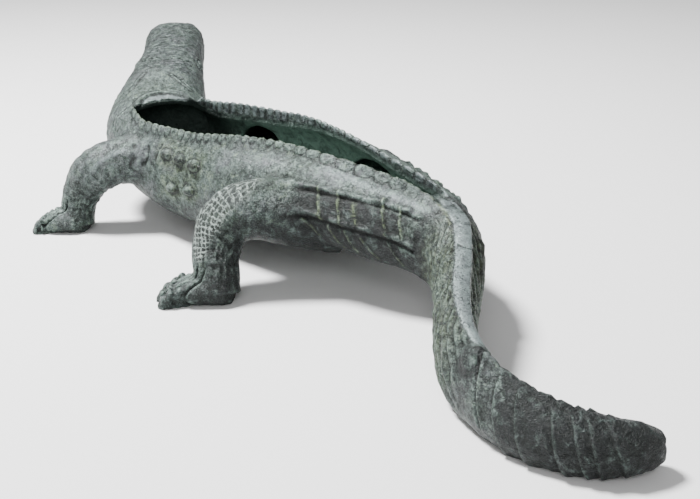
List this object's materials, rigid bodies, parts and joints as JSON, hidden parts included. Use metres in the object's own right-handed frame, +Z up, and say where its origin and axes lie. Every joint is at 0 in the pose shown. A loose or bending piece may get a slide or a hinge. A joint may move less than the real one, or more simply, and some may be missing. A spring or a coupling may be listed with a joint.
{
  "type": "alligator garden planter statue",
  "caption": "Cast metal alligator garden statue with an open hollow back for plants, head raised and turned, tail curled on the ground.",
  "frame": {"origin": "centre of the box around the statue, on the ground that its feet and tail stand on", "axes": "+Y towards the tail, -Y towards the head, +X to the animal's left, +Z up"},
  "size_m": [0.4472, 1.0116, 0.2065],
  "materials": {
    "verdigris_cast_metal": "patinated verdigris over rough casting"
  },
  "bodies": {
    "root": {"alligator": "verdigris_cast_metal"}
  },
  "joints": []
}
